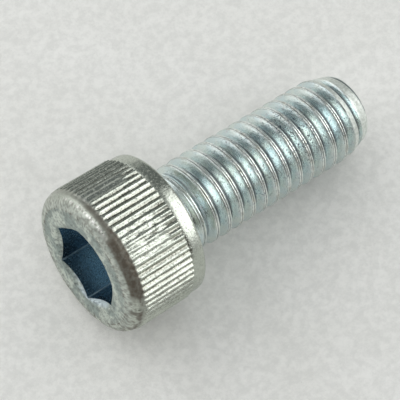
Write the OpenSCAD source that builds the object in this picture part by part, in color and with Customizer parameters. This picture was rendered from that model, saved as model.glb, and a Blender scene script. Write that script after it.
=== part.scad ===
// Hexagon socket head cap screw, M6 x 16, threaded to the head, lying on its head rim and thread.
// Lengths in mm, angles in degrees. The screw is drawn upright, head down, with its seat on z = 0,
// and then laid over so that the knurl and the last full thread crest touch z = 0.

/* [Head] */
// Diameter over the knurl crests
head_d = 10.0; // [9.8:0.05:10.2]
// Head height, from the seat to the top face
head_h = 5.8; // [5.7:0.05:6.0]
// Rounding between the knurl and the top face
edge_r = 0.75; // [0.5:0.05:0.9]
// Diameter of the plain collar next to the seat
collar_d = 9.74; // [9.7:0.01:9.79]
// Height of the plain collar
collar_h = 1.06; // [0.8:0.02:1.3]
// Rounding of the collar at the seat
seat_r = 0.2; // [0.1:0.05:0.3]

/* [Knurl] */
// Number of straight teeth round the head
knurl_count = 70; // [60:1:76]
// Depth of the grooves between the teeth
knurl_depth = 0.17; // [0.13:0.01:0.2]
// Share of the tooth pitch that the crest takes
knurl_crest = 0.3; // [0.24:0.01:0.36]
// Share of the tooth pitch that the bottom of the groove takes
knurl_root = 0.36; // [0.3:0.01:0.42]
// Turn of the knurl about the screw axis
knurl_turn = 1.06; // [0:0.01:6]

/* [Socket] */
// Width of the hexagon across its flats
socket_af = 5.05; // [5.02:0.01:5.14]
// Depth of the full hexagon, from the top face
socket_depth = 3.0; // [2.8:0.05:3.3]
// Height of the cone at the bottom of the hexagon
socket_point = 0.5; // [0.3:0.05:0.8]
// Angle of the countersink at the mouth, side to side
mouth_angle = 120; // [90:1:130]
// Turn of the hexagon about the screw axis
socket_turn = 41; // [0:1:60]

/* [Thread] */
// Diameter over the thread crests
thread_d = 5.91; // [5.8:0.01:5.97]
// Advance for one turn, right hand
pitch = 1.0; // [0.9:0.05:1.1]
// Length from the seat to the tip
length = 16; // [12:0.5:20]
// Share of the pitch that the crest takes
crest_share = 0.26; // [0.18:0.01:0.3]
// Share of the pitch that the root takes
root_share = 0.12; // [0.1:0.005:0.16]
// Length over which the thread rises from the plain neck to its full depth
runout = 3.0; // [2:0.1:4]
// Turn of the thread about the screw axis
thread_turn = 187; // [0:1:359]
// Sides of one turn of the thread
thread_sides = 36; // [30:1:40]
// Diameter of the flat at the tip
tip_d = 4.54; // [4.3:0.02:4.8]
// Slope of the tip taper, to the axis
tip_angle = 20; // [18:1:30]

/* [Hidden] */
$fn = 96;

head_r = head_d / 2;
collar_r = collar_d / 2;
zinc = [0.74, 0.77, 0.77];

// Knurl: a groove has a flat bottom and sloping sides, and is cut from outside the crests
groove_root = head_r - knurl_depth;
tooth_pitch = 360 / knurl_count;
groove_reach = 0.3;
reach_r = head_r + groove_reach;
mouth_side = head_r * sin(tooth_pitch * (1 - knurl_crest) / 2);
root_side = groove_root * sin(tooth_pitch * knurl_root / 2);
reach_side = mouth_side + (mouth_side - root_side) * groove_reach / knurl_depth;
edge_start = groove_root - 0.02;
tooth_end = 0.12;
edge_z = -head_h + edge_r;
edge_steps = 7;
seat_steps = 3;

// Socket
hex_r = socket_af / sqrt(3);
mouth_slope = tan(90 - mouth_angle / 2);
mouth_r = hex_r + 0.06;
mouth_depth = 0.45;
point_r = socket_af / 2 - 0.06;
face_clear = 0.1;

// Thread form: 60 degrees between the flanks
crest_r = thread_d / 2;
flank_run = pitch * (1 - crest_share - root_share) / 2;
flank_tan = tan(30);
root_r = crest_r - flank_run / flank_tan;
blank_r = (crest_r + root_r) / 2;
crest_half = pitch * crest_share / 2;
form_z = [-crest_half, crest_half, crest_half + flank_run, pitch - crest_half - flank_run];
form_r = [crest_r, crest_r, root_r, root_r];
form_n = len(form_z);

// Neck: a small cone in the corner between the seat and the rod
neck_h = 0.3;
neck_r = blank_r + neck_h - 0.05;
neck_sink = 0.1;
rod_sink = 0.6;

// The rod is drawn past both ends and then cut to length
spare = 2 * pitch;
thread_phase = pitch * thread_turn / 360;
first_z = -rod_sink - spare - thread_phase;
turns = ceil((length + rod_sink + 2 * spare + pitch) / pitch) + 1;
steps = turns * thread_sides;

// Taper of the tip
tip_r = tip_d / 2;
tip_slope = tan(tip_angle);
clear_r = crest_r + 0.5;
taper_top = length - (clear_r - tip_r) / tip_slope;

// Rest: the head touches at the collar side of the knurl, the rod at its last full crest underneath
taper_start = length - (crest_r - tip_r) / tip_slope;
crest_under = first_z + pitch * floor((taper_start - crest_half - first_z) / pitch);
rest_z = crest_under + crest_half;
tilt = atan((head_r - crest_r) / (rest_z + collar_h));
lift = head_r * cos(tilt) - collar_h * sin(tilt);
low_x = edge_z * cos(tilt) - (edge_start - edge_r) * sin(tilt) - edge_r;
high_x = length * cos(tilt) + tip_r * sin(tilt);
shift_x = -(low_x + high_x) / 2;

function smooth(t) = let (c = min(1, max(0, t))) c * c * (3 - 2 * c);

// One point of the thread: k counts round the form, j along the helix
function depth_at(z) = smooth(z / runout);
function rod_point(k, j) =
    let (turn = j / thread_sides,
         a = 360 * turn,
         z = first_z + pitch * turn + form_z[k],
         r = blank_r + (form_r[k] - blank_r) * depth_at(z))
    [r * cos(a), r * sin(a), z];
function at(k, j) = j * form_n + k;
function quad(a, b, c, d) = [[a, b, c], [a, c, d]];

// Profile of the head, radius against height, seat at zero
function round_off(cx, cz, r, from, to, n) =
    [for (i = [0 : n]) let (a = from + (to - from) * i / n) [cx + r * cos(a), cz + r * sin(a)]];
function head_outline() = concat(
    [[0, -head_h]],
    round_off(edge_start - edge_r, edge_z, edge_r, -90, 0, edge_steps),
    [[head_r, edge_z + tooth_end], [head_r, -collar_h], [collar_r, -collar_h]],
    round_off(collar_r - seat_r, -seat_r, seat_r, 0, 90, seat_steps),
    [[0, 0]]);

module head_blank() {
    rotate_extrude() polygon(head_outline());
}

module groove() {
    translate([0, 0, -head_h])
        linear_extrude(head_h - collar_h)
            polygon([[groove_root, -root_side], [reach_r, -reach_side],
                     [reach_r, reach_side], [groove_root, root_side]]);
}

module knurl() {
    for (i = [0 : knurl_count - 1])
        rotate([0, 0, knurl_turn + tooth_pitch * (i + 0.5)]) groove();
}

module socket() {
    rotate([0, 0, socket_turn])
        translate([0, 0, -head_h - face_clear])
            cylinder(h = socket_depth + face_clear, r = hex_r, $fn = 6);
    // Countersink at the mouth
    translate([0, 0, -head_h - face_clear])
        cylinder(h = mouth_depth + face_clear,
                 r1 = mouth_r + face_clear / mouth_slope, r2 = mouth_r - mouth_depth / mouth_slope);
    // Cone left by the punch at the bottom
    translate([0, 0, -head_h + socket_depth - face_clear])
        cylinder(h = face_clear + socket_point, r1 = point_r, r2 = 0.2);
}

module head() {
    difference() {
        head_blank();
        knurl();
        socket();
    }
}

// Rod with its helical thread, longer than needed at both ends
module long_rod() {
    last = steps;
    low_c = at(form_n - 1, last) + 1;
    high_c = low_c + 1;
    points = concat(
        [for (j = [0 : last]) for (k = [0 : form_n - 1]) rod_point(k, j)],
        [[0, 0, first_z + pitch / 2 - crest_half],
         [0, 0, first_z + pitch * (turns - 0.5) + form_z[form_n - 1]]]);
    flanks = [for (j = [0 : last - 1]) for (k = [0 : form_n - 2])
        each quad(at(k, j), at(k + 1, j), at(k + 1, j + 1), at(k, j + 1))];
    // The last side of the form meets the first one of the next turn
    closing = [for (j = [0 : last - thread_sides - 1])
        each quad(at(form_n - 1, j), at(0, j + thread_sides),
                  at(0, j + 1 + thread_sides), at(form_n - 1, j + 1))];
    low_end = concat(
        [for (j = [0 : thread_sides - 1]) [low_c, at(0, j), at(0, j + 1)]],
        [[low_c, at(0, thread_sides), at(form_n - 1, 0)]],
        [for (k = [form_n - 1 : -1 : 1]) [low_c, at(k, 0), at(k - 1, 0)]]);
    top = last - thread_sides;
    high_end = concat(
        [for (j = [top : last - 1]) [high_c, at(form_n - 1, j + 1), at(form_n - 1, j)]],
        [[high_c, at(form_n - 1, top), at(0, last)]],
        [for (k = [0 : form_n - 2]) [high_c, at(k, last), at(k + 1, last)]]);
    polyhedron(points, concat(flanks, closing, low_end, high_end), convexity = 20);
}

module rod() {
    intersection() {
        long_rod();
        rotate_extrude()
            polygon([[0, -rod_sink], [clear_r, -rod_sink], [clear_r, taper_top],
                     [tip_r, length], [0, length]]);
    }
}

module neck() {
    translate([0, 0, -neck_sink])
        cylinder(h = neck_h + neck_sink, r1 = neck_r + neck_sink, r2 = neck_r - neck_h);
}

module screw() {
    color(zinc)
        translate([shift_x, 0, lift])
            rotate([0, 90 + tilt, 0])
                union() {
                    head();
                    neck();
                    rod();
                }
}

screw();
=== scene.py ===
import math

import bpy
import numpy as np
from mathutils import Matrix, Vector


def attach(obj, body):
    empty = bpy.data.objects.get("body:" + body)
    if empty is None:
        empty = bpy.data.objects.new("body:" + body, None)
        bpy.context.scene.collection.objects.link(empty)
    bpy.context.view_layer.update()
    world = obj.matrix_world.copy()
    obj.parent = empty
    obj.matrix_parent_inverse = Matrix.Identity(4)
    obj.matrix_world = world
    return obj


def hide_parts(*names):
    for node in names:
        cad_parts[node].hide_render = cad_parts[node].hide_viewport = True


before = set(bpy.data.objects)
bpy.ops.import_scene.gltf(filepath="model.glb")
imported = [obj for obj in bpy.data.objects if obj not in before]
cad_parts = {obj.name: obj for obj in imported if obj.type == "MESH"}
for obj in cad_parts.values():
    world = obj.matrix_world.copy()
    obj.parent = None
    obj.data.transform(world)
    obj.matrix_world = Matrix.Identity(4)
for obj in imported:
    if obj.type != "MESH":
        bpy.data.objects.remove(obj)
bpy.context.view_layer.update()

MM = 0.001

# Camera, in mm: where it stands, which way its picture's right side points and which way it looks
STAND = Vector((-37.447, -33.133, 106.883))
RIGHT = Vector((0.78600, -0.61332, 0.07770))
LOOK = Vector((0.31561, 0.28999, -0.90349))
SENSOR = 36.0
LENS = 160.25

# Sizes as in the part's source, in mm. The seat is on z = 0, the head below it and the rod above
HEAD_R = 5.0
HEAD_H = 5.8
KNURLS = 70
KNURL_TURN = 1.06
KNURL_DEPTH = 0.17
GROOVE_R = HEAD_R - KNURL_DEPTH
EDGE_R = 0.75
EDGE_START = GROOVE_R - 0.02
EDGE_Z = -HEAD_H + EDGE_R
COLLAR_R = 4.87
COLLAR_H = 1.06
SEAT_R = 0.2
SOCKET_AF = 5.05
SOCKET_DEPTH = 3.0
SOCKET_POINT = 0.5
SOCKET_TURN = 41.0
MOUTH_R = SOCKET_AF / math.sqrt(3) + 0.06
MOUTH_TAN = math.tan(math.radians(30))
CREST_R = 2.955
CREST_HALF = 0.13
FLANK_RUN = 0.31
ROOT_R = CREST_R - FLANK_RUN / math.tan(math.radians(30))
BLANK_R = (CREST_R + ROOT_R) / 2
RUNOUT = 3.0
# The pitch is 1 mm, and the strip starts two turns above the source's helix
THREAD_TURN = 187
ROD_SINK = 0.6
FIRST_Z = -ROD_SINK - THREAD_TURN / 360
LENGTH = 16.0
TIP_R = 2.27
TIP_TAN = math.tan(math.radians(20))

# Rest, as in the part's source: the knurl and the last full crest underneath touch the floor
TAPER_START = LENGTH - (CREST_R - TIP_R) / TIP_TAN
REST_Z = FIRST_Z + math.floor(TAPER_START - CREST_HALF - FIRST_Z) + CREST_HALF
TILT = math.atan((HEAD_R - CREST_R) / (REST_Z + COLLAR_H))
LIFT = HEAD_R * math.cos(TILT) - COLLAR_H * math.sin(TILT)
LOW_X = EDGE_Z * math.cos(TILT) - (EDGE_START - EDGE_R) * math.sin(TILT) - EDGE_R
HIGH_X = LENGTH * math.cos(TILT) + TIP_R * math.sin(TILT)
SHIFT = -(LOW_X + HIGH_X) / 2
# Angle of the side that faces the camera, about the screw's axis
NEAR = -161.2

# Visual form of half a thread, from the middle of its crest: places across the pitch and their depth
FORM_V = (0.0, 0.018, 0.038, 0.060, 0.085, 0.112, 0.138, 0.165, 0.24, 0.32, 0.395, 0.44)
FORM_D = (0.050, 0.036, 0.012, 0.001, 0.000, 0.006, 0.026, 0.064, 0.191, 0.329, 0.459, 0.536)
ROOT_V = 0.5
ROOT_D = 0.537
BEFORE_V = -0.532  # where a column before the strip's first one would be
STRIP_SEG = 96  # steps to a turn of the strip
STRIP_TURNS = 20
STRIP_FROM = -0.45  # height where the strip starts, and how far it runs in over the end face
STRIP_OVER = 2.3
# Visual neck and tip
NECK_R = 2.95
NECK_H = 0.35
END_Z = 15.985
END_R = 2.42  # radius at the end, and slope of the taper
END_TAN = 0.286
END_ROUND = 0.07  # how far the end is rounded over, and from how far before it
END_ROUND_H = 0.16
# Visual head
TOOTH = (-0.5, -0.38, -0.31, -0.24, -0.17, -0.11, 0.0, 0.11, 0.17, 0.24, 0.31, 0.38)  # columns of a tooth
TOOTH_SIDE = 0.41  # share of a tooth's pitch that one side of its groove takes
FACE_ROWS = 8
EDGE_FULL = 0.1  # how much fuller than in the source the rounding ends
COLLAR_FULL = 0.02  # how much wider the collar is, before its bumps
CRUSHED_R = 4.925  # radii that crushed and smeared grooves rise to
SMEARED_R = 4.935
FADED_R = 4.91  # radius where the teeth start to rise from the rounding
# Visual socket
SOCKET_SEG = 240
MOUTH_ROWS = (0, 0.25, 0.5, 0.75, 1.0)  # places down the countersink

ATTRS = ("depth", "grime_and_painted_shade", "wear", "pit", "matte")
THREAD, HEAD, FACE, SOCKET = range(4)


def add_camera():
    data = bpy.data.cameras.new("camera")
    data.sensor_width = SENSOR
    data.lens = LENS
    data.clip_start = 0.005
    data.clip_end = 20.0
    camera = bpy.data.objects.new("camera", data)
    bpy.context.scene.collection.objects.link(camera)
    bpy.context.scene.camera = camera
    turn = Matrix((RIGHT, RIGHT.cross(LOOK), -LOOK)).transposed().to_4x4()
    camera.matrix_world = Matrix.Translation(STAND * MM) @ turn


def to_row(p):
    """From the screw's own axes, in mm, to the row's frame, in metres."""
    c, s = math.cos(TILT), math.sin(TILT)
    out = np.empty_like(p)
    out[:, 0] = SHIFT + p[:, 2] * c - p[:, 0] * s
    out[:, 1] = p[:, 1]
    out[:, 2] = LIFT - p[:, 2] * s - p[:, 0] * c
    return out * MM


def smooth(t):
    t = np.clip(t, 0, 1)
    return t * t * (3 - 2 * t)


def window(x, lo, hi, soft):
    """1 between lo and hi, 0 outside, with soft edges."""
    return smooth((x - lo) / soft + 0.5) * smooth((hi - x) / soft + 0.5)


def field(u, v, seed, wrap=256):
    """Smooth random values from -1 to 1, one cell to a unit, the same again after wrap cells of u."""
    table = np.random.default_rng(seed).uniform(-1, 1, (wrap, 256))
    ui, vi = np.floor(u).astype(int), np.floor(v).astype(int)
    fu, fv = smooth(u - ui), smooth(v - vi)
    a, b = table[ui % wrap, vi % 256], table[(ui + 1) % wrap, vi % 256]
    c, d = table[ui % wrap, (vi + 1) % 256], table[(ui + 1) % wrap, (vi + 1) % 256]
    return (a * (1 - fu) + b * fu) * (1 - fv) + (c * (1 - fu) + d * fu) * fv


def ripple(u, line, seed, wrap=256):
    """The values of a field along one of its lines."""
    return field(u, np.full_like(u, line), seed, wrap)


def from_near(a):
    """Angle from the side that faces the camera, in degrees, from -180 to 180."""
    return (np.degrees(a) - NEAR + 180) % 360 - 180


class Build:
    """Collects the points and faces of the screw, with the values that its materials read."""

    def __init__(self):
        self.points, self.faces, self.mats, self.values = [], [], [], []
        self.count = 0

    def add(self, points, faces, mat, **values):
        """Each value is one number a point: depth in a groove, grime and painted shade, wear and painted
        highlights, pit and matte.
        """
        n = len(points)
        self.points.append(points)
        self.faces.extend([[i + self.count for i in f] for f in faces])
        self.mats.extend([mat] * len(faces))
        self.values.append(np.stack([np.broadcast_to(values.get(k, 0.0), (n,)) for k in ATTRS], 1))
        self.count += n

    def add_used(self, points, faces, mat, values):
        """Adds some quads of a grid, with only the points that they use."""
        ids = np.unique(faces)
        index = np.zeros(len(points), int)
        index[ids] = np.arange(len(ids))
        self.add(points[ids], index[faces].tolist(), mat, **{k: x.ravel()[ids] for k, x in values.items()})


def round_points(radius, angle, z):
    return np.stack([radius * np.cos(angle), radius * np.sin(angle), z], -1).reshape(-1, 3)


def rings(cols, rows):
    """Faces of a grid whose points run round the ring first."""
    i, j = np.meshgrid(np.arange(cols), np.arange(rows - 1))
    k = (i + 1) % cols
    quads = np.stack([j * cols + i, j * cols + k, (j + 1) * cols + k, (j + 1) * cols + i], -1)
    return quads.reshape(-1, 4)


def strip_faces(cols, steps, kept):
    """Faces of the rod's strip, whose last column meets the first one of the next turn."""
    faces = []
    for step in range(steps - 1):
        for col in range(cols):
            here = step * cols + col
            if col < cols - 1:
                quad = (here, here + cols, here + cols + 1, here + 1)
            elif step + 1 + STRIP_SEG < steps:
                quad = (here, here + cols, (step + 1 + STRIP_SEG) * cols, (step + STRIP_SEG) * cols)
            else:
                continue
            if all(kept[i] for i in quad):
                faces.append(quad)
    return np.array(faces)


def thread(turn, v, full, on_crest):
    """Radius of the thread, whose crest is rolled up from both sides into two ridges, and a mask of the seam
    between them, which is coloured dark, partly as grime and partly as painted shade.

    full is 0 at the neck and 1 where the thread has its whole depth. The seam is wider near the head.
    """
    side = 1.0 + 0.07 * np.where(v < 0, ripple(turn * 9, 3.5, 11), ripple(turn * 9, 9.5, 12))
    deep = np.interp(np.abs(v) / side, FORM_V + (ROOT_V,), FORM_D + (ROOT_D,))
    grime_and_painted_shade = np.exp(-(v / (0.034 * (1 + 0.9 * (1 - full)))) ** 2)
    seam_depth = 0.6 + 0.5 * ripple(turn * 14, 1.5, 13)
    deep = deep - np.exp(-(v / 0.03) ** 2) * 0.04 * (1 - seam_depth)
    radial = BLANK_R + (CREST_R - 0.006 - deep - BLANK_R) * full
    radial = radial - 0.05 * (1 - full) * full * 4 * grime_and_painted_shade
    rough = 0.005 * field(turn * 17, v * 8, 21) + 0.004 * field(turn * 41, v * 20, 22) - 0.006
    return radial + on_crest * full * rough, grime_and_painted_shade


def nick_crests(radial, turn, v):
    """Takes small nicks out of the crests, in place."""
    rng = np.random.default_rng(5)
    for _ in range(150):
        t0 = rng.uniform(2, 18.5)
        v0 = rng.choice([-0.1, 0.1, 0.0]) + rng.uniform(-0.03, 0.03)
        size_t = rng.uniform(0.006, 0.02)
        size_v = rng.uniform(0.02, 0.05)
        deep = rng.uniform(0.01, 0.035)
        part = slice(int((t0 - 0.08) * STRIP_SEG), int((t0 + 0.08) * STRIP_SEG))
        away = ((turn[part] - t0) / size_t) ** 2 + ((v[part] - v0) / size_v) ** 2
        radial[part] -= deep * np.exp(-away)


def shape_ends(radial, turn, z, over):
    """Tapers the tip, closes it with a slightly dished end face and puts a cone in the corner at the seat."""
    taper = END_R + (END_Z - z) * END_TAN + 0.012 * field(turn * 23, z * 5, 31) - 0.008
    cut = smooth((radial - taper) / 0.03 + 0.5)
    radial = np.minimum(radial, taper) - 0.004 * np.exp(-((radial - taper) / 0.02) ** 2)
    radial -= END_ROUND * smooth((z - END_Z + END_ROUND_H) / END_ROUND_H) ** 2
    radial = np.where(z < NECK_H, np.maximum(radial, NECK_R - z), radial)
    radial = np.where(over > 0, np.maximum(radial - over * 1.04, 0.0), radial)
    dish = 0.05 * smooth(over / 0.9) * smooth((2.36 - over) / 1.2 + 0.4)
    return radial, np.where(over > 0, END_Z - dish, z), cut


def rod_marks(near, turn, v, z, full, on_crest, grime_and_painted_shade, cut, over):
    """Pits, rubbed crests, grime and painted shade in the seam, painted shade along both shoulders of the
    crest, and painted shade in the roots.
    """
    pits = window(near, -50, 30, 14) * window(z, 9.0, 11.8, 0.8)
    pits = np.maximum(pits, 0.6 * window(near, -50, 60, 20) * window(z, 3.0, 15.2, 1.0))
    # Painted shade in the roots, coloured near black
    root = smooth((np.abs(v) - 0.430) / 0.022)
    # Painted shade along both shoulders of the crest, as thin dark lines
    tip_side = 0.95 * np.exp(-((v - 0.165) / 0.015) ** 2)
    head_side = 0.75 * np.exp(-((v + 0.138) / 0.012) ** 2)
    painted_shoulder_shade = np.where(v > 0, tip_side, head_side) * (0.8 + 0.4 * field(turn * 11, v * 3, 14))
    return {
        "depth": root * full,
        "grime_and_painted_shade": np.maximum(grime_and_painted_shade, painted_shoulder_shade) * full * (over == 0),
        "wear": on_crest * full * (1 - cut),
        "pit": pits,
        "matte": np.maximum(cut, over > 0),
    }


def add_rod(screw):
    """Rod: a strip that winds up the helix and then over the end face. v runs across one pitch."""
    form = np.array(FORM_V)
    across = np.concatenate([[-ROOT_V], -form[:0:-1], form])
    gap = np.minimum(np.diff(np.append(across, ROOT_V)), np.diff(np.insert(across, 0, BEFORE_V)))
    steps = STRIP_SEG * STRIP_TURNS + 1
    step = np.arange(steps)
    height = FIRST_Z + (step / STRIP_SEG)[:, None] + across[None, :]
    # The points nearest to the edge of the end face lie right on it
    height = np.where(np.abs(height - END_Z) < gap[None, :] / 2, END_Z, height)
    angle = np.broadcast_to((2 * np.pi * step / STRIP_SEG)[:, None], height.shape)
    v = np.broadcast_to(across[None, :], height.shape)
    turn = angle / (2 * np.pi)
    z = np.minimum(height, END_Z)
    over = np.maximum(height - END_Z, 0)
    full = smooth(z / RUNOUT)
    on_crest = 1 - smooth((np.abs(v) - 0.10) / 0.08)
    radial, grime_and_painted_shade = thread(turn, v, full, on_crest)
    nick_crests(radial, turn, v)
    radial, z, cut = shape_ends(radial, turn, z, over)
    marks = rod_marks(from_near(angle), turn, v, z, full, on_crest, grime_and_painted_shade, cut, over)
    kept = ((height > STRIP_FROM) & (over < STRIP_OVER)).ravel().tolist()
    faces = strip_faces(len(across), steps, kept)
    screw.add_used(round_points(radial, angle, z), faces, THREAD, marks)


def head_outline():
    """Radius and height of each row from the socket's mouth to the seat, and where the knurl's rows are."""
    rows = [(r, -HEAD_H) for r in np.linspace(MOUTH_R, EDGE_START - EDGE_R, FACE_ROWS)]
    for b in np.linspace(-90, 0, 11)[1:]:
        b = math.radians(b)
        r = EDGE_START - EDGE_R + (EDGE_R + EDGE_FULL) * math.cos(b)
        rows.append((r, EDGE_Z + EDGE_R * math.sin(b)))
    knurl_from = len(rows)
    heights = np.concatenate([[-5.02, -4.97, -4.90], np.linspace(-4.78, -1.2, 22), [-1.13, -1.08, -1.06]])
    rows += [(HEAD_R, z) for z in heights]
    knurl_to = len(rows)
    full = COLLAR_R + COLLAR_FULL
    rows += [(COLLAR_R, -1.05), (full, -1.02), (full, -0.75), (full - 0.004, -0.45), (full - 0.012, -0.24)]
    for b in (0, 30, 60, 90):
        b = math.radians(b)
        rows.append((full - 0.014 - SEAT_R + SEAT_R * math.cos(b), -SEAT_R + SEAT_R * math.sin(b)))
    rows += [(3.9, 0.0), (2.6, 0.0)]
    return rows, knurl_from, knurl_to


def knurl(tooth, in_tooth, near, deg, z):
    """Radius, depth and smearing of the teeth. Every tooth has its own height, width, start and lean."""
    rng = np.random.default_rng(17)
    high = rng.uniform(0, 0.022, KNURLS)[tooth][None, :]
    wide = rng.uniform(-0.025, 0.03, KNURLS)[tooth][None, :]
    start = rng.uniform(-0.04, 0.04, KNURLS)[tooth][None, :]
    lean = rng.uniform(-0.03, 0.03, KNURLS)[tooth][None, :]
    tooth = tooth[None, :]
    aside = np.abs(in_tooth[None, :] + lean * (z + 3) / 2)
    crest = 0.06 + 0.7 * wide + 0.02 * field(tooth * 3.7, z * 1.7, 41)
    down = (aside - crest) / TOOTH_SIDE
    groove = 0.5 * np.clip(down, 0, 1) + 0.5 * smooth(down)
    crown = 0.006 * np.minimum(aside / 0.16, 1.2) ** 2
    top = HEAD_R - 0.006 - high - crown + 0.007 * field(tooth * 5.3, z * 3.1, 42)
    bottom = GROOVE_R + 0.032 + 0.012 * field(tooth * 2.1, z * 2.3, 43)
    # Teeth crushed together near the middle, and a run of teeth smeared over further up
    lumps = field(deg * 0.9, z * 5.5, 44, 324) * 0.6 + field(deg * 2.1, z * 11, 45, 756) * 0.4
    crushed = window(near, -11, 20, 7) * window(z, -5.2, -1.9, 0.7) * smooth((lumps + 0.55) / 0.7)
    smeared = window(near, -51.5, -39.3, 2.5) * window(z, -5.4, -2.0, 0.8) * smooth((lumps + 0.9) / 0.5)
    bottom = bottom + (CRUSHED_R - bottom) * 0.62 * crushed + 0.016 * crushed * lumps
    top = top - crushed * (0.030 + 0.016 * lumps)
    bottom = bottom + (SMEARED_R - bottom) * 0.8 * smeared
    top = top + (HEAD_R - 0.035 - top) * 0.7 * smeared
    top = np.minimum(top, HEAD_R - 0.004)
    # The teeth fade in from the rounding
    rise = smooth((z - (EDGE_Z - 0.05 + start)) / 0.34)
    radial = FADED_R + (top + (bottom - top) * groove - FADED_R) * rise
    depth = groove * (1 - 0.85 * crushed) * (1 - 0.9 * smeared) * rise
    return radial, depth, smeared


def edge_dents(low, deg, radial, z):
    """Shallow dents in the rounding, and deeper ones along its lower part."""
    dent = 0.016 * field(deg * 0.25, z * 1.7 + radial * 1.3, 51, 90)
    dent = dent + 0.012 * field(deg * 0.7, z * 4 + radial * 3, 52, 252)
    dent = dent + low * (0.035 * field(deg * 0.45, z * 3 + radial * 3, 53, 162) - 0.02)
    return np.minimum(dent, 0.004) - 0.012


def edge_stain_and_painted_shade(near, low, slope, deg, z):
    """Brown stain on the rounding, which is partly a painted dark reflection, and darker nicks along its
    lower part, by the angle round the head and the slope of the rounding.
    """
    # Partly brown stain and partly painted dark reflection
    stain_and_painted_shade = window(near, -9, 44, 12) * window(slope, -12, 44, 8)
    stain_and_painted_shade = stain_and_painted_shade + 0.45 * window(near, -40, -2, 12) * window(slope, -6, 20, 8)
    stain_and_painted_shade = stain_and_painted_shade + 0.4 * window(slope, -10, 16, 8)
    nicks = smooth((field(deg * 0.5, z * 6, 73, 180) - 0.05) / 0.4)
    return np.minimum(stain_and_painted_shade + low * window(slope, 0, 62, 12) * nicks * 0.8, 1)


def head_marks(row, knurl_from, is_knurl, in_edge, near, deg, low, radial, z):
    """Brown stain with painted dark reflection, rim marks and freckles as grime and painted shade, a painted
    glint strip as wear and painted highlight, and where the rounding is matte.
    """
    slope = np.degrees(np.arctan2(EDGE_Z - z, radial - (EDGE_START - EDGE_R)))
    stain_and_painted_shade = edge_stain_and_painted_shade(near, low, slope, deg, z)
    grime_and_painted_shade = np.where(in_edge | (is_knurl & (z < -4.88)), stain_and_painted_shade, 0.0)
    rim = window(row, 5, 9, 3) * smooth((field(deg * 0.6, radial * 5, 74, 216) + 0.15) / 0.5)
    grime_and_painted_shade = np.where(row < FACE_ROWS, rim, grime_and_painted_shade)
    freckles = 0.5 * smooth((field(deg * 0.7, z * 8 + radial * 8, 75, 252) + 0.05) / 0.4)
    grime_and_painted_shade = np.where(in_edge & (row < knurl_from - 4), np.maximum(grime_and_painted_shade, freckles), grime_and_painted_shade)
    # Painted glint: a bright strip along the rounding's slope, near the side that faces the camera
    painted_glint = window(near, -60, -8, 14) * smooth((field(deg * 0.8, z * 9, 72, 288) + 0.35) / 0.5)
    painted_glint = painted_glint * window(slope + 5 * ripple(deg * 0.25, 0.5, 71, 90), 28, 38, 7)
    matte = np.where(in_edge, smooth((knurl_from - 4.5 - row) / 4), 0.0) + (row < FACE_ROWS - 2)
    return {"grime_and_painted_shade": grime_and_painted_shade, "wear": np.where(in_edge, painted_glint, 0.0), "matte": matte}


def add_head(screw):
    """Head: columns follow the teeth, rows follow the outline."""
    rows, knurl_from, knurl_to = head_outline()
    cols = KNURLS * len(TOOTH)
    tooth = np.repeat(np.arange(KNURLS), len(TOOTH))
    in_tooth = np.tile(TOOTH, KNURLS)
    radial = np.array([r[0] for r in rows])[:, None] * np.ones(cols)
    z = np.array([r[1] for r in rows])[:, None] * np.ones(cols)
    angle = np.broadcast_to(np.radians(KNURL_TURN + (tooth + in_tooth) * 360 / KNURLS), radial.shape)
    row = np.arange(len(rows))[:, None] * np.ones(cols)
    near, deg = from_near(angle), np.degrees(angle)
    low = window(near, 45, 110, 16)
    is_face = row < FACE_ROWS
    in_edge = (row >= FACE_ROWS - 2) & (row <= knurl_from)
    is_knurl = (row >= knurl_from) & (row < knurl_to)
    is_collar = (row >= knurl_to) & (row < knurl_to + 7)

    teeth, depth, smeared = knurl(tooth, in_tooth, near, deg, z)
    radial = np.where(is_knurl, teeth, radial)
    # The rounding is dented square to its slope
    fade = smooth((row - FACE_ROWS + 2) / 3) * smooth((knurl_from + 4 - row) / 4)
    dent = edge_dents(low, deg, radial, z) * fade
    way = np.arctan2(z - EDGE_Z, radial - (EDGE_START - EDGE_R))
    radial = np.where(in_edge, radial + dent * np.maximum(np.cos(way), 0), radial)
    z = np.where(in_edge, z + dent * np.minimum(np.sin(way), 0), z)
    # Shallow dents in the face, and an uneven collar
    bumps = 0.010 * field(deg * 0.2, radial * 3, 61, 72) + 0.008 * field(deg * 0.6, radial * 7, 62, 216)
    z = np.where(is_face & (row > 0), z + np.maximum(bumps + 0.008, 0), z)
    radial = np.where(is_collar, radial - 0.004 + 0.004 * field(deg * 0.3, z * 4, 63, 108), radial)
    radial = np.minimum(radial, HEAD_R - 0.005)

    marks = head_marks(row, knurl_from, is_knurl, in_edge, near, deg, low, radial, z)
    marks["depth"] = np.where(is_knurl, depth, 0.0)
    marks["pit"] = np.where(is_knurl, smeared, 0.0)
    points = round_points(radial, angle, z)
    faces = rings(cols, len(rows))
    split = (FACE_ROWS - 1) * cols
    screw.add_used(points, faces[:split], FACE, marks)
    screw.add_used(points, faces[split:], HEAD, marks)


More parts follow.
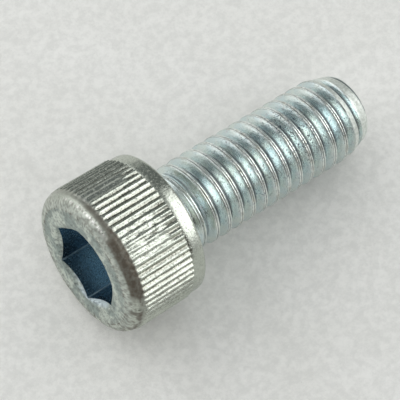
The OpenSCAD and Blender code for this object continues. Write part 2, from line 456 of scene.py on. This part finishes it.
def add_socket(screw):
    """Socket: columns follow the hexagon's corners, rows go down the countersink, the flats and the cone."""
    step = np.arange(SOCKET_SEG)
    angle = np.radians(SOCKET_TURN + step * 360 / SOCKET_SEG)
    hex_r = SOCKET_AF / 2 / np.cos(np.radians(step * 360 / SOCKET_SEG % 60 - 30))
    rim = []
    for t in MOUTH_ROWS:
        r = MOUTH_R + (hex_r - MOUTH_R) * t
        rim.append((r, -HEAD_H + (MOUTH_R - r) * MOUTH_TAN))
    lip = rim[-1][1] + 0.02
    rim.append((hex_r, lip))
    bottom = -HEAD_H + SOCKET_DEPTH
    wall = [(hex_r, lip)]
    for t in np.linspace(0.05, 1.0, 12):
        wall.append((hex_r, lip + (bottom - lip) * t))
    for r, rise in ((2.465, 0.0), (1.9, 0.125), (1.2, 0.28), (0.6, 0.41), (0.15, SOCKET_POINT)):
        wall.append((np.minimum(hex_r, r), bottom + rise))

    # The countersink has the face's metal, with a painted highlight along two of its sides
    near = from_near(angle)
    bright = np.tile(window(near, 92, 160, 16), len(rim)) * np.repeat([0.0, 0.6, 1, 1, 1, 1], SOCKET_SEG)
    dimmer = np.tile(window(near, 158, 200, 10), len(rim)) * np.repeat([0, 0, 0, 0.16, 0.8, 0.8], SOCKET_SEG)
    rim_points = np.concatenate([round_points(r, angle, z + 0 * angle) for r, z in rim])
    rim_faces = rings(SOCKET_SEG, len(rim))[:, ::-1].tolist()
    screw.add(rim_points, rim_faces, FACE, wear=np.maximum(bright, dimmer))

    # Below it the corners of the hexagon get painted highlights, as light lines
    points = [round_points(r, angle, z + 0 * angle) for r, z in wall]
    points = np.concatenate(points + [[[0, 0, bottom + SOCKET_POINT]]])
    faces = rings(SOCKET_SEG, len(wall))[:, ::-1].tolist()
    last = (len(wall) - 1) * SOCKET_SEG
    centre = len(points) - 1
    faces += [[last + (i + 1) % SOCKET_SEG, last + i, centre] for i in range(SOCKET_SEG)]
    corner = (step % (SOCKET_SEG // 6) == 0) * 1.0
    screw.add(points, faces, SOCKET, wear=np.append(np.tile(corner, len(wall)), 0.0))


class Nodes:
    """A few short calls for building a node tree."""

    def __init__(self, tree):
        self.tree = tree
        tree.nodes.clear()

    def node(self, kind, **props):
        n = self.tree.nodes.new(kind)
        for k, v in props.items():
            setattr(n, k, v)
        return n

    def put(self, socket, value):
        if isinstance(value, bpy.types.NodeSocket):
            self.tree.links.new(value, socket)
        elif isinstance(value, (tuple, list)) and socket.type == "RGBA" and len(value) == 3:
            socket.default_value = (*value, 1.0)
        else:
            socket.default_value = value

    def math(self, operation, *values):
        n = self.node("ShaderNodeMath", operation=operation)
        for socket, value in zip(n.inputs, values):
            self.put(socket, value)
        return n.outputs[0]

    def plus(self, a, b):
        return self.math("ADD", a, b)

    def minus(self, a, b):
        return self.math("SUBTRACT", a, b)

    def times(self, a, b):
        return self.math("MULTIPLY", a, b)

    def ramp(self, value, lo, hi, out_lo=0.0, out_hi=1.0):
        n = self.node("ShaderNodeMapRange", interpolation_type="SMOOTHSTEP")
        for socket, v in zip(n.inputs, (value, lo, hi, out_lo, out_hi)):
            self.put(socket, v)
        return n.outputs[0]

    def mix(self, fac, a, b):
        n = self.node("ShaderNodeMix", data_type="RGBA")
        self.put(n.inputs[0], fac)
        self.put(n.inputs[6], a)
        self.put(n.inputs[7], b)
        return n.outputs[2]

    def at(self, stretch=(1.0, 1.0, 1.0)):
        """The object's own coordinates in mm, along the screw's axes, drawn out along each of them."""
        n = self.node("ShaderNodeMapping", vector_type="POINT")
        n.inputs["Rotation"].default_value = (0.0, -TILT, 0.0)
        n.inputs["Scale"].default_value = tuple(s / MM for s in stretch)
        self.put(n.inputs["Vector"], self.node("ShaderNodeTexCoord").outputs["Object"])
        return n.outputs[0]

    def noise(self, scale, detail=4.0, rough=0.55, stretch=(1.0, 1.0, 1.0)):
        n = self.node("ShaderNodeTexNoise")
        n.inputs["Scale"].default_value = scale
        n.inputs["Detail"].default_value = detail
        n.inputs["Roughness"].default_value = rough
        self.put(n.inputs["Vector"], self.at(stretch))
        return n.outputs["Fac"]

    def cells(self, scale):
        n = self.node("ShaderNodeTexVoronoi")
        n.inputs["Scale"].default_value = scale
        self.put(n.inputs["Vector"], self.at())
        return n.outputs["Distance"]

    def attr(self, name):
        return self.node("ShaderNodeAttribute", attribute_name=name).outputs["Fac"]

    def bump(self, height, distance):
        n = self.node("ShaderNodeBump")
        n.inputs["Strength"].default_value = 1.0
        n.inputs["Distance"].default_value = distance * MM
        self.put(n.inputs["Height"], height)
        return n.outputs[0]

    def surface(self, colour, rough, normal, metallic=1.0, specular=0.5):
        n = self.node("ShaderNodeBsdfPrincipled")
        self.put(n.inputs["Base Color"], colour)
        self.put(n.inputs["Roughness"], rough)
        self.put(n.inputs["Normal"], normal)
        self.put(n.inputs["Metallic"], metallic)
        self.put(n.inputs["Specular IOR Level"], specular)
        self.output(n.outputs[0])

    def output(self, shader, kind="ShaderNodeOutputMaterial"):
        self.tree.links.new(shader, self.node(kind).inputs[0])


def new_material(name):
    mat = bpy.data.materials.new(name)
    mat.use_nodes = True
    return mat, Nodes(mat.node_tree)


def thread_material():
    """Bright blue-white zinc, light on the rubbed crests, with grime and painted shade in the seams, and
    painted shade along the crests' shoulders and in the roots, which isn't metal.
    """
    mat, n = new_material("zinc_thread")
    fine = n.noise(6.0, 5, 0.65)
    colour = n.mix(n.ramp(n.noise(0.9, 3), 0.38, 0.62), (0.665, 0.775, 0.785), (0.735, 0.815, 0.785))
    colour = n.mix(n.ramp(n.noise(2.6, 3), 0.56, 0.70, 0.0, 0.45), colour, (0.74, 0.71, 0.73))
    crest = n.times(n.attr("wear"), n.ramp(fine, 0.35, 0.6, 0.35, 1.0))
    crest_tone = n.mix(n.ramp(n.noise(1.7, 4), 0.34, 0.52), (0.64, 0.64, 0.56), (0.93, 0.97, 0.92))
    colour = n.mix(n.times(crest, 0.9), colour, crest_tone)
    # Dark seams, partly grime and partly painted shade, and painted shade along the crests' shoulders
    grime_and_painted_shade = n.times(n.attr("grime_and_painted_shade"), n.ramp(fine, 0.3, 0.65, 1.0, 0.6))
    colour = n.mix(n.times(grime_and_painted_shade, 0.95), colour, (0.035, 0.036, 0.034))
    # Painted shade in the roots: near black
    colour = n.mix(n.attr("depth"), colour, (0.012, 0.020, 0.028))
    spots = n.ramp(n.plus(n.noise(9.0, 4, 0.6), n.times(n.attr("pit"), 0.09)), 0.65, 0.73)
    colour = n.mix(spots, colour, (0.05, 0.09, 0.13))
    end_tone = n.mix(n.ramp(fine, 0.35, 0.65), (0.62, 0.66, 0.61), (0.84, 0.88, 0.84))
    colour = n.mix(n.attr("matte"), colour, end_tone)
    # The painted shade and the grime are not metal, and are rougher
    grime_and_painted_shade_share = n.math("MAXIMUM", n.times(grime_and_painted_shade, 0.85), n.times(n.attr("depth"), 0.85))
    rough = n.plus(n.ramp(fine, 0.3, 0.75, 0.14, 0.27), n.times(spots, 0.25))
    rough = n.plus(n.plus(rough, n.times(grime_and_painted_shade_share, 0.3)), n.times(n.attr("matte"), 0.30))
    height = n.plus(n.times(fine, 0.6), n.times(n.noise(22.0, 3, 0.6), 0.4))
    height = n.minus(height, n.times(spots, 1.6))
    n.surface(colour, rough, n.bump(height, 0.022), n.minus(1.0, grime_and_painted_shade_share), 0.1)
    return mat


def head_material():
    """Side of the head: polished teeth, brown grooves, a brown stain that is partly a painted dark
    reflection, a painted glint on the rounding, smeared and crushed places.
    """
    mat, n = new_material("zinc_head")
    fine = n.noise(5.0, 5, 0.65)
    streak = n.noise(3.2, 4, 0.6, stretch=(2.4, 2.4, 0.5))
    colour = n.mix(n.ramp(n.noise(0.7, 3), 0.36, 0.64), (0.475, 0.51, 0.45), (0.54, 0.575, 0.51))
    groove_tone = n.mix(n.ramp(streak, 0.35, 0.65), (0.29, 0.29, 0.245), (0.47, 0.49, 0.43))
    colour = n.mix(n.ramp(n.attr("depth"), 0.25, 0.85), colour, groove_tone)
    smear = n.times(n.attr("pit"), n.ramp(fine, 0.3, 0.6, 0.6, 0.3))
    colour = n.mix(smear, colour, (0.50, 0.53, 0.50))
    specks = n.ramp(n.noise(9.0, 4, 0.65), 0.58, 0.70)
    colour = n.mix(n.times(specks, 0.45), colour, (0.22, 0.20, 0.16))
    matte_tone = n.mix(n.ramp(n.noise(2.2, 5, 0.65), 0.36, 0.64), (0.46, 0.50, 0.46), (0.66, 0.70, 0.64))
    colour = n.mix(n.attr("matte"), colour, matte_tone)
    # Painted glint: a near-white strip on the rounding
    colour = n.mix(n.attr("wear"), colour, (0.95, 0.95, 0.91))
    # Brown stain, rim marks and freckles, with a painted dark reflection on the rounding
    stain_and_painted_shade = n.times(n.attr("grime_and_painted_shade"), n.ramp(n.noise(3.0, 4, 0.6), 0.3, 0.6, 0.8, 1.0))
    colour = n.mix(stain_and_painted_shade, colour, (0.12, 0.103, 0.08))
    # The stain, the marks and the painted dark reflection aren't metal
    stain_and_painted_shade_share = n.times(n.attr("grime_and_painted_shade"), 0.7)
    rough = n.plus(n.ramp(fine, 0.3, 0.75, 0.20, 0.36), n.times(n.attr("matte"), 0.14))
    rough = n.plus(rough, n.times(stain_and_painted_shade_share, 0.25))
    height = n.plus(n.times(fine, 0.7), n.times(streak, 0.5))
    height = n.minus(height, n.times(specks, 0.5))
    n.surface(colour, rough, n.bump(height, 0.022), n.minus(1.0, stain_and_painted_shade_share), 0.15)
    return mat


def face_material():
    """Face of the head: matte, mottled grey-green with dents and dark chips, and a painted highlight along
    the countersink's edge.
    """
    mat, n = new_material("zinc_face")
    large, fine = n.noise(1.1, 4, 0.6), n.noise(6.0, 5, 0.7)
    colour = n.mix(n.ramp(large, 0.42, 0.58), (0.42, 0.49, 0.46), (0.72, 0.78, 0.71))
    blotch = n.ramp(n.noise(3.6, 5, 0.7), 0.50, 0.60)
    colour = n.mix(n.times(blotch, 0.55), colour, (0.28, 0.31, 0.30))
    chips = n.ramp(n.noise(5.5, 5, 0.7), 0.585, 0.62)
    colour = n.mix(n.times(chips, 0.6), colour, (0.20, 0.22, 0.21))
    colour = n.mix(n.times(n.attr("grime_and_painted_shade"), 0.6), colour, (0.26, 0.27, 0.25))
    # Painted highlight along the countersink's edge
    colour = n.mix(n.attr("wear"), colour, (0.70, 0.80, 0.84))
    height = n.plus(n.times(large, 1.6), n.times(fine, 0.8))
    height = n.minus(height, n.times(n.plus(blotch, chips), 0.5))
    n.surface(colour, n.ramp(fine, 0.3, 0.75, 0.34, 0.52), n.bump(height, 0.075))
    return mat


def socket_material():
    """Socket: smooth and blue, with painted highlights as light lines at its corners."""
    mat, n = new_material("zinc_socket")
    fine = n.noise(7.0, 4, 0.6)
    inner = n.mix(n.ramp(n.noise(1.0, 3), 0.35, 0.65), (0.34, 0.46, 0.54), (0.42, 0.54, 0.61))
    # Painted highlight along the corners, which are also rougher
    line = n.times(n.attr("wear"), n.ramp(n.noise(2.0, 3), 0.35, 0.6, 0.3, 1.0))
    rough = n.plus(n.ramp(fine, 0.3, 0.75, 0.18, 0.30), n.times(n.attr("wear"), 0.4))
    n.surface(n.mix(line, inner, (0.80, 0.88, 0.90)), rough, n.bump(fine, 0.004))
    return mat


def paper_material():
    """White paper: faint clouds, fibres and a few dark specks."""
    mat, n = new_material("paper")
    fine = n.noise(1.6, 6, 0.75)
    tone = n.mix(n.ramp(n.noise(0.12, 3), 0.3, 0.7), (0.895, 0.89, 0.85), (0.935, 0.93, 0.895))
    tone = n.mix(n.ramp(fine, 0.35, 0.65, 0.0, 0.36), tone, (0.62, 0.62, 0.59))
    tone = n.mix(n.ramp(n.cells(0.16), 0.006, 0.013, 0.75, 0.0), tone, (0.16, 0.15, 0.13))
    n.surface(tone, 0.9, n.bump(fine, 0.05), 0.0, 0.1)
    return mat


def add_screw():
    screw = Build()
    add_rod(screw)
    add_head(screw)
    add_socket(screw)
    mesh = bpy.data.meshes.new("plated_screw")
    mesh.from_pydata(to_row(np.vstack(screw.points)).tolist(), [], screw.faces)
    mesh.polygons.foreach_set("material_index", screw.mats)
    values = np.vstack(screw.values).astype(np.float32)
    for k, name in enumerate(ATTRS):
        mesh.attributes.new(name, "FLOAT", "POINT").data.foreach_set("value", values[:, k].copy())
    mesh.polygons.foreach_set("use_smooth", [True] * len(mesh.polygons))
    mesh.validate()
    mesh.set_sharp_from_angle(angle=math.radians(38))
    piece = bpy.data.objects.new("plated_screw", mesh)
    bpy.context.scene.collection.objects.link(piece)
    # In the order of THREAD, HEAD, FACE and SOCKET
    for mat in (thread_material(), head_material(), face_material(), socket_material()):
        mesh.materials.append(mat)
    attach(piece, "root")
    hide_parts("screw")


def rectangle(name, width, height):
    x, y = width / 2, height / 2
    mesh = bpy.data.meshes.new(name)
    mesh.from_pydata([(-x, -y, 0), (x, -y, 0), (x, y, 0), (-x, y, 0)], [], [(0, 1, 2, 3)])
    card = bpy.data.objects.new(name, mesh)
    bpy.context.scene.collection.objects.link(card)
    return card


def add_paper():
    paper = rectangle("paper", 3.0, 3.0)
    paper.data.materials.append(paper_material())


def place(item, az, el, distance):
    """Puts a lamp or a card at an azimuth and elevation, turned to the middle of the screw."""
    az, el = math.radians(az), math.radians(el)
    way = Vector((math.cos(el) * math.cos(az), math.cos(el) * math.sin(az), math.sin(el)))
    item.location = Vector((0.0, 0.0, 0.005)) + way * distance
    item.rotation_euler = (-way).to_track_quat("-Z", "Y").to_euler()


def softbox(name, az, el, distance, width, height, power):
    data = bpy.data.lights.new(name, "AREA")
    data.shape, data.size, data.size_y = "RECTANGLE", width, height
    data.energy = power
    lamp = bpy.data.objects.new(name, data)
    bpy.context.scene.collection.objects.link(lamp)
    place(lamp, az, el, distance)
    lamp.visible_camera = False


def screen(name, az, el, distance, width, height, colour):
    """A plain card with soft edges outside the picture, that only mirror rays see."""
    card = rectangle(name, width, height)
    place(card, az, el, distance)
    mat, n = new_material(name)
    emission = n.node("ShaderNodeEmission")
    n.put(emission.inputs["Color"], colour)
    across = n.node("ShaderNodeSeparateXYZ")
    n.put(across.inputs[0], n.node("ShaderNodeTexCoord").outputs["Generated"])
    fade = [n.ramp(n.math("ABSOLUTE", n.minus(across.outputs[k], 0.5)), 0.44, 0.5, 1.0, 0.0) for k in (0, 1)]
    both = n.node("ShaderNodeMixShader")
    n.put(both.inputs[0], n.times(*fade))
    n.put(both.inputs[1], n.node("ShaderNodeBsdfTransparent").outputs[0])
    n.put(both.inputs[2], emission.outputs[0])
    n.output(both.outputs[0])
    card.data.materials.append(mat)
    card.visible_camera = card.visible_diffuse = card.visible_shadow = False


def add_world():
    """An even room, which the metal mirrors darker than it lights."""
    world = bpy.data.worlds.new("world")
    bpy.context.scene.world = world
    world.use_nodes = True
    n = Nodes(world.node_tree)
    path = n.node("ShaderNodeLightPath")
    mirrored = n.math("MAXIMUM", path.outputs["Is Glossy Ray"], path.outputs["Is Transmission Ray"])
    room = n.node("ShaderNodeBackground")
    n.put(room.inputs["Color"], (0.93, 0.95, 0.96))
    n.put(room.inputs["Strength"], n.plus(n.times(mirrored, -0.35), 0.73))
    n.output(room.outputs[0], "ShaderNodeOutputWorld")


bpy.context.scene.view_settings.view_transform = "Standard"
add_camera()
add_screw()
add_paper()
softbox("key", 120, 30, 0.5, 0.77, 0.58, 1.26)
screen("window", -34, 42, 0.4, 0.50, 0.42, (2.45, 2.45, 2.45))
screen("dark_near", -112, 28, 0.45, 0.76, 0.90, (0.058, 0.050, 0.040))
screen("dark_far", 46, 36, 0.47, 0.70, 0.64, (0.165, 0.180, 0.180))
add_world()
